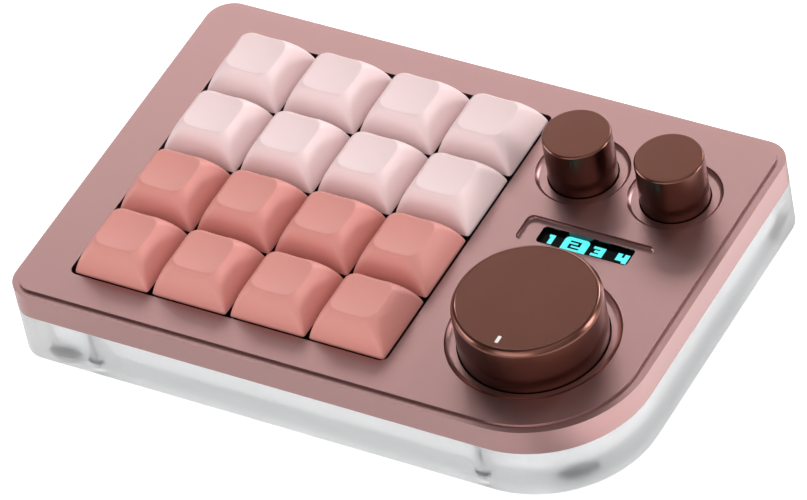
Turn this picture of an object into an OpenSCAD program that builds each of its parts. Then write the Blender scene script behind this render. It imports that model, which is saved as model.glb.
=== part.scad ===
// Macro keypad: sixteen sprung keys, two small knobs, one large knob and a small screen,
// in a metal frame screwed to a clear base. X runs to the right, Y to the back, Z up.
// The origin is under the middle of the case, level with the soles of the feet.

/* [Case] */
// Width of the case, left to right
case_w = 141.2; // [140:0.2:180]
// Depth of the case, front to back
case_d = 95.4; // [94:0.2:130]
// Corner radius of the case, on three corners
corner_r = 6; // [2:0.5:8]
// Radius of the front right corner, round the large knob
big_corner_r = 25.5; // [8:0.5:26]
// Height of the clear base, without its feet
base_h = 12.4; // [11.5:0.1:18]
// Height of the metal frame
frame_h = 6.9; // [6.6:0.1:8.3]
// Step down from the frame's top to its rim
rim_step = 0.7; // [0.3:0.1:1.2]
// Width of the frame's rim
rim_w = 1.6; // [0.8:0.1:2.5]
// Thickness of the base's floor
floor_t = 3.2; // [2:0.1:4]
// Thickness of the base's walls
wall_t = 8.2; // [7.5:0.1:9]

/* [Keys] */
// Number of key columns
key_cols = 4; // [1:1:4]
// Number of key rows
key_rows = 4; // [1:1:4]
// Distance from key to key
key_pitch = 19.05; // [19:0.05:19.5]
// Width of a keycap at its skirt
cap_w = 18.1; // [17.8:0.05:18.2]
// Width of a keycap across its top edge
cap_top_w = 11; // [10:0.1:12]
// Height of a keycap
cap_h = 7.5; // [7.2:0.1:9]
// Depth of the dish in a keycap's top
dish_depth = 0.75; // [0.3:0.05:0.9]
// Wall thickness of a keycap
cap_wall = 1.4; // [0.9:0.1:1.5]
// Gap from the outer keycaps to the edge of the key opening
key_gap = 0.88; // [0.4:0.02:1.5]
// Distance from the case's left side to the key opening
key_margin = 11.3; // [10:0.1:14]
// Travel of a key
key_travel = 4; // [3:0.1:4]

/* [Knobs] */
// Diameter of the large knob
large_knob_d = 32; // [26:0.5:34]
// Height of the large knob above the frame
large_knob_h = 10.9; // [10:0.1:16]
// Diameter of the small knobs
small_knob_d = 15; // [13.5:0.5:17]
// Height of the small knobs above the frame
small_knob_h = 11; // [10:0.1:16]
// Distance between the two small knobs
small_knob_pitch = 21.9; // [21:0.1:24]
// Travel of a knob that is pushed down
push_travel = 0.5; // [0.3:0.1:0.6]
// Gap round a knob in its hole
knob_gap = 0.4; // [0.3:0.1:0.8]
// Depth of the well round a knob
well_depth = 0.9; // [0.4:0.1:1]
// Distance from the large knob to the case's right side
large_knob_side = 27.25; // [24:0.05:30]
// Distance from the large knob to the case's front
large_knob_front = 26.95; // [24:0.05:30]
// Distance from the right small knob to the case's right side
small_knob_side = 17.65; // [16:0.05:20]
// Distance from the small knobs to the case's back
small_knob_back = 21.75; // [19:0.05:24]

/* [Screen] */
// Width of the recess round the screen
recess_w = 30; // [26:0.2:34]
// Depth of the recess, front to back
recess_d = 7.6; // [6.6:0.1:9]
// How far the recess lies below the frame's top
recess_depth = 0.9; // [0.4:0.1:1]
// Width of the screen's window
window_w = 21.6; // [18:0.1:24]
// Depth of the window, front to back
window_d = 4.8; // [4:0.1:5.4]
// Distance from the screen's middle to the case's right side
screen_side = 29.3; // [28:0.1:32]
// Distance from the screen's middle to the case's back
screen_back = 40.9; // [39:0.1:43]

/* [Feet and screws] */
// Diameter of a rubber foot
foot_d = 8; // [6:0.5:8.5]
// Height that a foot stands below the base
foot_h = 1.5; // [1:0.1:3]
// Diameter of a case screw's thread
screw_d = 2; // [1.6:0.1:2.2]
// Diameter of a case screw's head
screw_head_d = 3.8; // [3.2:0.1:4.2]
// How far a case screw reaches into the frame
screw_grip = 3.7; // [2:0.1:4.5]

/* [Hidden] */
$fn = 64;
e = 0.01;
fit = 0.05;

// Levels, from the feet up
base_z = foot_h;
floor_z = base_z + floor_t;
joint_z = base_z + base_h;
top_z = joint_z + frame_h;
rim_z = top_z - rim_step;

// Switch plate, circuit board and what stands on them
plate_t = 1.5;
plate_to_board = 5;
board_t = 1.6;
plate_z = joint_z - plate_t;
board_top = joint_z - plate_to_board;
board_z = board_top - board_t;
socket_t = 1.8;
ledge_w = 2;
ledge_gap = 0.2;
board_gap = 0.7;
plate_inset = wall_t - ledge_w + ledge_gap;

// Places on the case
block_w = (key_cols - 1) * key_pitch + cap_w + 2 * key_gap;
block_d = (key_rows - 1) * key_pitch + cap_w + 2 * key_gap;
block_x = -case_w / 2 + key_margin + block_w / 2;
opening_r = 1.8;
large_knob_at = [case_w / 2 - large_knob_side, -case_d / 2 + large_knob_front];
small_right_at = [case_w / 2 - small_knob_side, case_d / 2 - small_knob_back];
small_left_at = small_right_at - [small_knob_pitch, 0];
screen_at = [case_w / 2 - screen_side, case_d / 2 - screen_back];
knob_places = [small_left_at, small_right_at, large_knob_at];

// Keycap curves: each side is an arc that leans in by skirt_lean at the skirt
skirt_lean = 10;
cap_edge_h = cap_h - 0.2;
side_dx = (cap_w - cap_top_w) / 2;
side_chord = sqrt(side_dx * side_dx + cap_edge_h * cap_edge_h);
side_turn = atan(side_dx / cap_edge_h) - skirt_lean;
side_r = side_chord / (2 * sin(side_turn));
side_cx = cap_w / 2 - side_r * cos(skirt_lean);
side_cz = -side_r * sin(skirt_lean);
skirt_cut = 0.5;
crown_cut = 0.9;
skirt_reach = cap_w / sqrt(2) - skirt_cut;
crown_reach = cap_top_w / sqrt(2) - crown_cut;
ball_z = (crown_reach * crown_reach + cap_edge_h * cap_edge_h - skirt_reach * skirt_reach) / (2 * cap_edge_h);
ball_r = sqrt(skirt_reach * skirt_reach + ball_z * ball_z);
dish_reach = 7;
dish_r = (dish_reach * dish_reach + dish_depth * dish_depth) / (2 * dish_depth);
cap_roof = 0.85;
cap_room_h = cap_h - dish_depth - cap_roof;
cap_lift = 6.3;
cap_z = joint_z + cap_lift;
post_d = 5.5;
post_lift = 0.7;

// Switch parts
housing_w = 13.9;
flange_w = 15.6;
flange_t = 0.8;
cutout_w = 14;
cover_h = 5.8;
cover_foot_w = 14.8;
cover_top_w = 10.4;
cover_z = joint_z + flange_t;
cover_top = cover_z + cover_h;
cover_roof = 1;
slider_w = 7.2;
slider_d = 5.7;
slider_gap = 0.08;
collar_w = 9.4;
collar_d = 6.8;
collar_t = 1;
collar_gap = 0.1;
collar_room = 0.2;
collar_top = cover_top - cover_roof - collar_gap;
cross_w = 4;
cross_t = 1.2;
cross_h = 3.7;
slider_top = cover_top - collar_gap;
pole_d = 3;
housing_floor = 0.8;
housing_room_w = 11.2;
room_z = board_top + housing_floor;
seat_d = 3.4;
seat_h = 0.95;
seat_gap = 0.3;
pole_z = room_z + seat_h + seat_gap + key_travel;
peg_d = 4;
peg_h = 3;
wire_d = 0.3;
coil_d = 4.3;
coil_turns = 5;
turn_steps = 8;
wire_sides = 5;
spring_gap = 0.05;
spring_z = room_z + spring_gap;
spring_h = collar_top - collar_t - spring_gap - spring_z;
contact_places = [[-3.81, 2.54], [2.54, 5.08]];
pin_d = 1.5;
pin_reach = 2.9;
leaf_w = 2;
leaf_t = 0.4;
leaf_h = 4;
barrel_d = 2.9;
barrel_bore_d = 1.7;
barrel_h = 1.5;
socket_skin = 0.3;
socket_lobes = [[[-3.6, 2.9], [5.4, 4.2]], [[2.3, 4.7], [6.6, 4.2]]];
peg_gap = 0.25;

// Rotary encoders
body_w = 11.6;
body_h = 5.7;
body_top = board_top + body_h;
shell_t = 0.35;
shell_top_t = 0.8;
shell_w = body_w + 2 * (shell_t + fit);
leg_w = 8;
leg_lift = 0.7;
bush_d = 7;
bush_h = 5;
bush_z = body_top + shell_top_t;
bush_top = bush_z + bush_h;
shaft_d = 6;
shaft_flat = 1.5;
shaft_reach = 8.8;
rotor_d = 9.6;
cup_d = 10.2;
cup_z = board_top + 1;
guide_d = 4;
guide_floor = 0.2;
end_gap = 0.1;
plunger_t = 0.8;
plunger_z = cup_z + push_travel + end_gap;
boss_z = board_top + guide_floor + push_travel + end_gap;
rotor_z = plunger_z + plunger_t + fit;
rotor_top = body_top - end_gap;
encoder_hole_w = 13.2;

// Knobs
knob_sink = 2;
knob_z = top_z - knob_sink;
bush_room = 0.7;
hub_z = bush_top + push_travel + bush_room;
flat_z = hub_z - 0.2;
shaft_top = top_z + shaft_reach;
bore_top = shaft_top + 0.2;
large_bevel = [0.75, 1.1];
small_bevel = [0.25, 0.25];
bush_room_d = 8.6;
well_slope = 0.9;
large_well_r = large_knob_d / 2 + 2.7;
small_well_r = small_knob_d / 2 + 2.8;
pointer_w = 0.8;
pointer_l = 2;
pointer_t = 0.6;
pointer_edge = 2.4;
pointer_gap = 0.02;

// Screen parts
recess_z = top_z - recess_depth;
recess_r = 1.5;
window_r = 0.8;
window_lip = 1.1;
glass_w = 30;
glass_d = 11.5;
glass_t = 1.45;
glass_gap = 0.1;
glass_top = recess_z - window_lip - glass_gap;
glass_side_gap = 0.2;
carrier_w = 38;
carrier_d = 12;
carrier_t = 1.2;
carrier_z = glass_top - glass_t - carrier_t;
header_w = 2.5;
header_d = 10.2;
header_inset = 0.6;
header_slot_gap = 0.45;

// Hollow under the frame's right part
pocket_inset = 7.4;
pocket_roof_t = 2.1;
pocket_roof_z = recess_z - pocket_roof_t;
rib_t = 3;
pocket_x = block_x + block_w / 2 + rib_t;

// Socket for the plug, in the back wall
usb_w = 8.94;
usb_h = 3.2;
usb_l = 7.3;
usb_recess = 0.5;
usb_gap = 0.18;
usb_wall = 1.3;
usb_shell_t = 0.3;
usb_back_t = 1;
tongue_w = 6.7;
tongue_t = 0.7;
tongue_inset = 1;
usb_end_flat = 0.8;
usb_x = screen_at[0];
usb_face = case_d / 2 - usb_recess;
tab_w = 10.4;
tab_gap = 0.3;
tab_root = 2;
tab_y = case_d / 2 - usb_wall - tab_gap;
board_edge_y = case_d / 2 - wall_t - board_gap;

chip_w = 7;
chip_h = 1;
chip_at = [large_knob_at[0] - 16.5, large_knob_at[1] - 4];

// Feet and screws
foot_sink = 0.5;
foot_side = 10.3;
foot_front = 6.7;
foot_big_corner = 8.5;
screw_inset = wall_t / 2;
screw_hole_gap = 0.15;
head_h = 1.5;
head_sink = 2.1;
head_gap = 0.2;
screw_seat_z = base_z + head_sink;
socket_hex_d = 1.5;
socket_hex_h = 0.8;
thread_end_gap = 0.5;
screw_left = 18.9;
screw_front_right = 28.7;
screw_back_right = 18.9;

big_centre = [case_w / 2 - big_corner_r, -case_d / 2 + big_corner_r];
foot_places = [
    [-case_w / 2 + foot_side, -case_d / 2 + foot_front],
    [-case_w / 2 + foot_side, case_d / 2 - foot_front],
    [case_w / 2 - foot_side, case_d / 2 - foot_front],
    big_centre + (big_corner_r - foot_big_corner) * [cos(45), -sin(45)],
];
screw_places = [
    [-case_w / 2 + screw_left, -case_d / 2 + screw_inset],
    [-case_w / 2 + screw_left, case_d / 2 - screw_inset],
    [case_w / 2 - screw_back_right, case_d / 2 - screw_inset],
    [case_w / 2 - screw_front_right, -case_d / 2 + screw_inset],
];

pale = [0.93, 0.82, 0.82];
coral = [0.84, 0.58, 0.54];
rose = [0.75, 0.60, 0.58];
brown = [0.45, 0.29, 0.25];

function key_name(part, row, col) = str(part, "_r", row, "c", col);
function key_at(row, col) = [
    block_x + (col - (key_cols + 1) / 2) * key_pitch,
    ((key_rows + 1) / 2 - row) * key_pitch,
];

// A rectangle with round corners, in the middle of the plane
module round_rect(w, d, r) {
    square([w - 2 * r, d], center = true);
    square([w, d - 2 * r], center = true);
    for (x = [-1, 1], y = [-1, 1])
        translate([x * (w / 2 - r), y * (d / 2 - r)]) circle(r);
}

// The case's outline, moved in by inset
module case_outline(inset) {
    left = -case_w / 2 + inset;
    right = case_w / 2 - inset;
    front = -case_d / 2 + inset;
    back = case_d / 2 - inset;
    small = max(corner_r - inset, 0.5);
    big = max(big_corner_r - inset, 0.5);
    translate([left + small, front]) square([right - big - left - small, back - front]);
    translate([left, front + small]) square([right - big - left, back - front - 2 * small]);
    translate([left + small, front + big]) square([right - small - left - small, back - front - big]);
    translate([left + small, front + big]) square([right - left - small, back - small - front - big]);
    translate([left + small, front + small]) circle(small);
    translate([left + small, back - small]) circle(small);
    translate([right - small, back - small]) circle(small);
    translate([right - big, front + big]) circle(big);
}

module slab(inset, z_low, z_high) {
    translate([0, 0, z_low]) linear_extrude(z_high - z_low) case_outline(inset);
}

module block(w, d, z_low, z_high) {
    translate([-w / 2, -d / 2, z_low]) cube([w, d, z_high - z_low]);
}

module rod(diameter, z_low, z_high) {
    translate([0, 0, z_low]) cylinder(d = diameter, h = z_high - z_low);
}

module at_each_key() {
    for (row = [1:key_rows], col = [1:key_cols])
        translate(key_at(row, col)) children();
}

module at_each_knob() {
    for (place = knob_places) translate(place) children();
}

// ---- keycaps -------------------------------------------------------------

// The cylinder that bounds one of a keycap's curved sides
module side_barrel(r, turn) {
    rotate([0, 0, turn]) translate([side_cx, 0, side_cz]) rotate([90, 0, 0])
        cylinder(r = r, h = 3 * cap_w, center = true, $fn = 180);
}

// A block whose four sides are arcs, with its corners eased by a ball
module cap_block(shell, height) {
    r = side_r - shell;
    intersection() {
        block(cap_w, cap_w, 0, height);
        side_barrel(r, 0);
        side_barrel(r, 90);
        side_barrel(r, 180);
        side_barrel(r, 270);
        translate([0, 0, ball_z]) sphere(ball_r - shell, $fn = 180);
    }
}

module cross(w, t, z_low, z_high) {
    block(w, t, z_low, z_high);
    block(t, w, z_low, z_high);
}

module keycap(row, col) {
    color(row <= 2 ? pale : coral)
        translate(concat(key_at(row, col), [cap_z])) {
            difference() {
                cap_block(0, cap_h);
                cap_block(cap_wall, cap_room_h);
                translate([0, 0, cap_h - dish_depth + dish_r]) sphere(dish_r, $fn = 180);
            }
            difference() {
                rod(post_d, post_lift, cap_room_h);
                translate([0, 0, -cap_z])
                    cross(cross_w + 2 * fit, cross_t + 2 * fit, cap_z, slider_top + cross_h + fit);
            }
        }
}

// ---- switches ------------------------------------------------------------

module switch_stem(row, col) {
    color("firebrick") translate(key_at(row, col)) {
        cross(cross_w, cross_t, slider_top - e, slider_top + cross_h);
        block(slider_w, slider_d, collar_top - collar_t, slider_top);
        block(collar_w, collar_d, collar_top - collar_t, collar_top);
        rod(pole_d, pole_z, collar_top - collar_t + e);
    }
}

module cover_wedge() {
    rotate([90, 0, 0]) linear_extrude(2 * flange_w, center = true)
        polygon([
            [-cover_foot_w / 2, cover_z], [cover_foot_w / 2, cover_z],
            [cover_top_w / 2, cover_top], [-cover_top_w / 2, cover_top],
        ]);
}

module switch_covers() {
    color("whitesmoke") at_each_key() difference() {
        intersection() {
            cover_wedge();
            rotate([0, 0, 90]) cover_wedge();
        }
        block(collar_w + 2 * collar_room, collar_d + 2 * collar_room, cover_z - 1, cover_top - cover_roof);
        block(slider_w + 2 * slider_gap, slider_d + 2 * slider_gap, cover_z, cover_top + 1);
    }
}

module switch_housings() {
    color("dimgray") at_each_key() difference() {
        union() {
            block(housing_w, housing_w, board_top, joint_z);
            block(flange_w, flange_w, joint_z, cover_z);
            rod(peg_d - 2 * fit, board_top - peg_h, board_top);
        }
        difference() {
            block(housing_room_w, housing_room_w, room_z, cover_z + 1);
            rod(seat_d, board_top, room_z + seat_h);
        }
        for (place = contact_places)
            translate(place) rod(pin_d + 2 * fit, board_top - 1, cover_z);
    }
}

// A coil spring in one closed skin, with a ring of wire_sides points at every step round it
module coil_spring() {
    steps = coil_turns * turn_steps;
    points = [
        for (step = [0:steps], side = [0:wire_sides - 1])
            let (
                turn = 360 * step / turn_steps,
                roll = 360 * side / wire_sides,
                reach = (coil_d + wire_d * cos(roll)) / 2
            )
                [
                    reach * cos(turn), reach * sin(turn),
                    wire_d / 2 * (1 + sin(roll)) + step * (spring_h - wire_d) / steps,
                ],
    ];
    skin = [
        for (step = [0:steps - 1], side = [0:wire_sides - 1], half = [0, 1])
            let (a = step * wire_sides + side, b = step * wire_sides + (side + 1) % wire_sides)
                half == 0 ? [a, b, b + wire_sides] : [a, b + wire_sides, a + wire_sides],
    ];
    ends = [
        [for (side = [wire_sides - 1:-1:0]) side],
        [for (side = [0:wire_sides - 1]) steps * wire_sides + side],
    ];
    polyhedron(points, concat(skin, ends));
}

module switch_springs() {
    color("silver") at_each_key() translate([0, 0, spring_z]) coil_spring();
}

module switch_contacts() {
    color("gold") at_each_key() for (place = contact_places) translate(place) {
        rod(pin_d, board_top - pin_reach, room_z + fit);
        translate([0, -leaf_t / 2, 0]) block(leaf_w, leaf_t, room_z + fit - e, room_z + leaf_h);
    }
}

module hot_swap_sockets() {
    body_z = board_z - socket_t;
    color("black") at_each_key() difference() {
        union() {
            for (lobe = socket_lobes) translate(lobe[0]) block(lobe[1][0], lobe[1][1], body_z, board_z);
            for (place = contact_places) translate(place) rod(barrel_d, body_z, board_z + barrel_h);
        }
        for (place = contact_places)
            translate(place) rod(barrel_bore_d, body_z + socket_skin, board_top);
        rod(peg_d + 2 * peg_gap, body_z - 1, board_z + 1);
    }
}

// ---- case ----------------------------------------------------------------

module top_frame() {
    color(rose) difference() {
        union() {
            slab(0, joint_z, rim_z);
            slab(rim_w, rim_z - e, top_z);
        }
        translate([block_x, 0, joint_z - 1]) linear_extrude(frame_h + 2)
            round_rect(block_w, block_d, opening_r);
        translate([0, 0, joint_z - 1]) linear_extrude(pocket_roof_z - joint_z + 1)
            intersection() {
                case_outline(pocket_inset);
                translate([pocket_x, -case_d]) square([case_w, 2 * case_d]);
            }
        for (place = [small_left_at, small_right_at])
            translate(place) knob_well(small_knob_d, small_well_r);
        translate(large_knob_at) knob_well(large_knob_d, large_well_r);
        translate(screen_at) {
            translate([0, 0, recess_z]) linear_extrude(recess_depth + 1)
                round_rect(recess_w, recess_d, recess_r);
            translate([0, 0, recess_z - window_lip - 1]) linear_extrude(window_lip + 2)
                round_rect(window_w, window_d, window_r);
            block(glass_w + 2 * glass_side_gap, glass_d + 2 * glass_side_gap,
                pocket_roof_z - 1, recess_z - window_lip);
        }
        for (place = screw_places)
            translate(place)
                rod(screw_d + 2 * fit, joint_z - 1, joint_z + screw_grip + thread_end_gap);
    }
}

module knob_well(knob_d, well_r) {
    translate([0, 0, top_z - well_depth])
        cylinder(r1 = well_r - well_slope, r2 = well_r, h = well_depth);
    rod(2 * well_r, top_z - e, top_z + 1);
    rod(knob_d + 2 * knob_gap, pocket_roof_z - 1, top_z);
}

module clear_base() {
    notch_w = tab_w + 2 * tab_gap;
    notch_back = case_d / 2 - usb_wall;
    color("white", 0.4) difference() {
        slab(0, base_z, joint_z);
        slab(wall_t, floor_z, joint_z + 1);
        slab(wall_t - ledge_w, plate_z, joint_z + 1);
        translate([usb_x - notch_w / 2, case_d / 2 - wall_t - 1, board_z - tab_gap])
            cube([notch_w, notch_back - case_d / 2 + wall_t + 1, joint_z - board_z + 1]);
        usb_slot(usb_gap, notch_back - 1, case_d / 2 + 1);
        for (place = screw_places) translate(place) {
            rod(screw_d + 2 * screw_hole_gap, base_z, joint_z + 1);
            rod(screw_head_d + 2 * head_gap, base_z - 1, screw_seat_z);
        }
        for (place = foot_places)
            translate(place) rod(foot_d + 2 * head_gap, base_z - 1, base_z + foot_sink);
    }
}

// The socket's outline, grown by gap and run along Y
module usb_slot(gap, y_low, y_high) {
    translate([usb_x, y_high, board_top + usb_h / 2]) rotate([90, 0, 0])
        linear_extrude(y_high - y_low)
            round_rect(usb_w + 2 * gap, usb_h + 2 * gap, (usb_h - usb_end_flat) / 2 + gap);
}

module switch_plate() {
    color("dimgray") difference() {
        slab(plate_inset, plate_z, joint_z);
        at_each_key() block(cutout_w, cutout_w, plate_z - 1, joint_z + 1);
        at_each_knob() block(encoder_hole_w, encoder_hole_w, plate_z - 1, joint_z + 1);
        translate(header_at()) block(
            header_w + 2 * header_slot_gap, header_d + 2 * header_slot_gap, plate_z - 1, joint_z + 1
        );
    }
}

function header_at() = screen_at - [carrier_w / 2 - header_w / 2 - header_inset, 0];

module circuit_board() {
    color("darkgreen") difference() {
        union() {
            slab(wall_t + board_gap, board_z, board_top);
            translate([usb_x - tab_w / 2, board_edge_y - tab_root, board_z])
                cube([tab_w, tab_y - board_edge_y + tab_root, board_t]);
        }
        at_each_key() {
            rod(peg_d, board_z - 1, board_top + 1);
            for (place = contact_places)
                translate(place) rod(barrel_d + 2 * fit, board_z - 1, board_top + 1);
        }
    }
}

// ---- encoders and knobs --------------------------------------------------

module encoder_bodies() {
    color("darkslategray") at_each_knob() difference() {
        block(body_w, body_w, board_top, body_top);
        rod(cup_d, cup_z, body_top + 1);
        rod(guide_d + 2 * fit, board_top + guide_floor, cup_z + 1);
    }
}

module encoder_shells() {
    color("silver") at_each_knob() difference() {
        union() {
            block(shell_w, shell_w, body_top, bush_z);
            rod(bush_d, bush_z - e, bush_top);
            for (s = [-1, 1])
                translate([s * (shell_w - shell_t) / 2, 0, 0])
                    block(shell_t, leg_w, board_top + leg_lift, body_top + e);
        }
        rod(shaft_d + 2 * fit, body_top - 1, bush_top + 1);
    }
}

module push_plunger(place) {
    color("ivory") translate(place) {
        rod(rotor_d, plunger_z, plunger_z + plunger_t);
        rod(guide_d, boss_z, plunger_z + e);
    }
}

module encoder_shaft(place) {
    color("gainsboro") translate(place) difference() {
        union() {
            rod(rotor_d, rotor_z, rotor_top);
            rod(shaft_d, rotor_top - e, shaft_top);
        }
        translate([shaft_flat, -shaft_d / 2, flat_z]) cube([shaft_d, shaft_d, shaft_top]);
    }
}

module shaft_bore(z_low) {
    difference() {
        rod(shaft_d + 2 * fit, z_low, bore_top);
        translate([shaft_flat + fit, -shaft_d, z_low - 1]) cube([shaft_d, 2 * shaft_d, bore_top]);
    }
}

module knob_blank(diameter, height, bevel) {
    rod(diameter, knob_z, top_z + height - bevel[1]);
    translate([0, 0, top_z + height - bevel[1]])
        cylinder(d1 = diameter, d2 = diameter - 2 * bevel[0], h = bevel[1]);
}

module small_knob(place) {
    color(brown) translate(place) difference() {
        knob_blank(small_knob_d, small_knob_h, small_bevel);
        rod(bush_room_d, knob_z - 1, hub_z);
        shaft_bore(hub_z - e);
    }
}

module pointer_slot(gap) {
    front = -large_knob_d / 2 + pointer_edge;
    translate([-pointer_w / 2 - gap, front - gap, top_z + large_knob_h - pointer_t])
        cube([pointer_w + 2 * gap, pointer_l + 2 * gap, pointer_t]);
}

module large_knob() {
    color(brown) translate(large_knob_at) difference() {
        knob_blank(large_knob_d, large_knob_h, large_bevel);
        rod(bush_room_d, knob_z - 1, hub_z);
        shaft_bore(hub_z - e);
        pointer_slot(pointer_gap);
        translate([0, 0, e]) pointer_slot(pointer_gap);
    }
}

module large_knob_pointer() {
    color("white") translate(large_knob_at) pointer_slot(0);
}

// ---- screen, electronics, feet and screws --------------------------------

module screen_glass() {
    color("black") translate(screen_at)
        block(glass_w, glass_d, glass_top - glass_t, glass_top);
}

module screen_board() {
    color("midnightblue") translate(screen_at)
        block(carrier_w, carrier_d, carrier_z, carrier_z + carrier_t);
}

module screen_header() {
    color("black") translate(header_at()) block(header_w, header_d, board_top, carrier_z);
}

module usb_socket() {
    color("silver") difference() {
        usb_slot(0, usb_face - usb_l, usb_face);
        difference() {
            usb_slot(-usb_shell_t, usb_face - usb_l + usb_back_t, usb_face + 1);
            translate([usb_x, usb_face - usb_l, board_top + usb_h / 2])
                translate([-tongue_w / 2, 0, -tongue_t / 2]) cube([tongue_w, usb_l - tongue_inset, tongue_t]);
        }
    }
}

module controller_chip() {
    color("black") translate(chip_at) block(chip_w, chip_w, board_top, board_top + chip_h);
}

module case_screws() {
    color("gray") for (place = screw_places) translate(place) {
        rod(screw_d, screw_seat_z - e, joint_z + screw_grip);
        difference() {
            rod(screw_head_d, screw_seat_z - head_h, screw_seat_z);
            translate([0, 0, screw_seat_z - head_h - 1])
                cylinder(d = socket_hex_d, h = socket_hex_h + 1, $fn = 6);
        }
    }
}

module rubber_feet() {
    color("dimgray") for (place = foot_places)
        translate(place) rod(foot_d, 0, base_z + foot_sink);
}

for (row = [1:key_rows], col = [1:key_cols]) {
    keycap(row, col);
    switch_stem(row, col);
}
top_frame();
clear_base();
switch_plate();
switch_covers();
switch_housings();
switch_springs();
switch_contacts();
hot_swap_sockets();
circuit_board();
encoder_bodies();
encoder_shells();
push_plunger(small_left_at);  // push_plunger_left
push_plunger(small_right_at);  // push_plunger_right
push_plunger(large_knob_at);  // push_plunger_large
encoder_shaft(small_left_at);  // encoder_shaft_left
encoder_shaft(small_right_at);  // encoder_shaft_right
encoder_shaft(large_knob_at);  // encoder_shaft_large
small_knob(small_left_at);  // small_knob_left
small_knob(small_right_at);  // small_knob_right
large_knob();
large_knob_pointer();
screen_glass();
screen_board();
screen_header();
usb_socket();
controller_chip();
case_screws();
rubber_feet();
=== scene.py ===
# Looks for the macro keypad. Everything is in metres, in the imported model's frame:
# X to the right, Y to the back, Z up, the soles of the feet at zero.
import math

import bmesh
import bpy
from mathutils import Matrix, Vector


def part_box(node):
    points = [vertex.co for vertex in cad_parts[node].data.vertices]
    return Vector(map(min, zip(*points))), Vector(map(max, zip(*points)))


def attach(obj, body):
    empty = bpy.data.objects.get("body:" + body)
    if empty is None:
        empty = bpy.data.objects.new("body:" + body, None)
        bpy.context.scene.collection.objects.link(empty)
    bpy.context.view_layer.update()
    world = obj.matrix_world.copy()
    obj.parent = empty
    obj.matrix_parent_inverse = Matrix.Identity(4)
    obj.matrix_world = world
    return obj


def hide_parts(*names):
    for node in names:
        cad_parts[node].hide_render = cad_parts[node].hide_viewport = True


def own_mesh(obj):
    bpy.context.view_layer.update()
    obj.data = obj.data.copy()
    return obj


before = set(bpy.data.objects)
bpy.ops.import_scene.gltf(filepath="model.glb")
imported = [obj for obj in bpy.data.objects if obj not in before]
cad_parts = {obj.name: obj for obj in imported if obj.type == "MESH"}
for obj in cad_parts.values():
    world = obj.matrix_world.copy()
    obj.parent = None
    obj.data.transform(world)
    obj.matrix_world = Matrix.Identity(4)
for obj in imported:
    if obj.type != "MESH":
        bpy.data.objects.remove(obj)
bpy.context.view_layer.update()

MM = 0.001
NEAR = 0.001 * MM


# ---- the bench: selecting, shaping and finishing ---------------------------

def deselect():
    if bpy.context.object and bpy.context.object.mode != "OBJECT":
        bpy.ops.object.mode_set(mode="OBJECT")
    bpy.ops.object.select_all(action="DESELECT")


def take(obj):
    """Makes obj the one selected object."""
    deselect()
    obj.select_set(True)
    bpy.context.view_layer.objects.active = obj


def work_on(obj):
    """Opens obj in edit mode with nothing selected."""
    take(obj)
    bpy.ops.object.mode_set(mode="EDIT")
    bpy.ops.mesh.select_all(action="DESELECT")


def pick(obj, kind, test):
    """Selects the faces, edges or vertices of obj for which test is true, in edit mode."""
    bpy.ops.mesh.select_mode(type=kind)
    bpy.ops.mesh.select_all(action="DESELECT")
    shape = bmesh.from_edit_mesh(obj.data)
    parts = {"FACE": shape.faces, "EDGE": shape.edges, "VERT": shape.verts}[kind]
    for part in parts:
        if test(part):
            part.select_set(True)
    shape.select_flush_mode()
    bmesh.update_edit_mesh(obj.data)


def is_top(obj):
    """A test for the faces that lie flat at the very top of obj."""
    top = max(vert.co.z for vert in obj.data.vertices)
    return lambda face: face.normal.z > 0.9 and abs(face.calc_center_median().z - top) < NEAR


def lies_at(z):
    """A test for the edges that lie flat at the height z."""
    return lambda edge: all(abs(vert.co.z - z) < NEAR for vert in edge.verts)


def fresh(name, adding, stretch=(1, 1, 1), **settings):
    """Adds a primitive with nothing else selected, and settles its place into its mesh."""
    deselect()
    adding(**settings)
    obj = bpy.context.object
    obj.name = obj.data.name = name
    obj.scale = stretch
    bpy.ops.object.transform_apply(location=True, rotation=True, scale=True)
    return obj


def finish_with(obj, kind, **settings):
    """Adds a modifier to obj and applies it."""
    take(obj)
    modifier = obj.modifiers.new(kind.title(), kind)
    for key, value in settings.items():
        setattr(modifier, key, value)
    bpy.ops.object.modifier_apply(modifier=modifier.name)


def dress(obj, *materials):
    obj.data.materials.clear()
    for material in materials:
        obj.data.materials.append(material)


def carve(obj, tool, skin=None):
    """Cuts tool out of obj; skin, where given, is the material that the tool brings to the cut."""
    if skin:
        dress(tool, skin)
    finish_with(obj, "BOOLEAN", operation="DIFFERENCE", solver="EXACT", object=tool)
    bpy.data.objects.remove(tool)


def join(first, *others):
    deselect()
    for other in (first, *others):
        other.select_set(True)
    bpy.context.view_layer.objects.active = first
    bpy.ops.object.join()
    return first


def clean(obj, distance=0.004 * MM):
    """Merges doubles and turns every face outwards."""
    work_on(obj)
    bpy.ops.mesh.select_all(action="SELECT")
    bpy.ops.mesh.remove_doubles(threshold=distance)
    bpy.ops.mesh.normals_make_consistent(inside=False)
    bpy.ops.object.mode_set(mode="OBJECT")


def ease_edges(obj, width):
    """Breaks the sharp edges by a small round, and shades the faces so that flats stay flat."""
    finish_with(obj, "BEVEL", width=width, segments=2, limit_method="ANGLE", angle_limit=math.radians(30),
                use_clamp_overlap=True, miter_outer="MITER_ARC")
    clean(obj, 0.002 * MM)
    take(obj)
    bpy.ops.object.shade_smooth()
    finish_with(obj, "WEIGHTED_NORMAL", keep_sharp=False, weight=60)


def shade(obj, angle):
    """Shades obj smooth, but for the edges sharper than angle."""
    take(obj)
    bpy.ops.object.shade_smooth_by_angle(angle=math.radians(angle))


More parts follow.
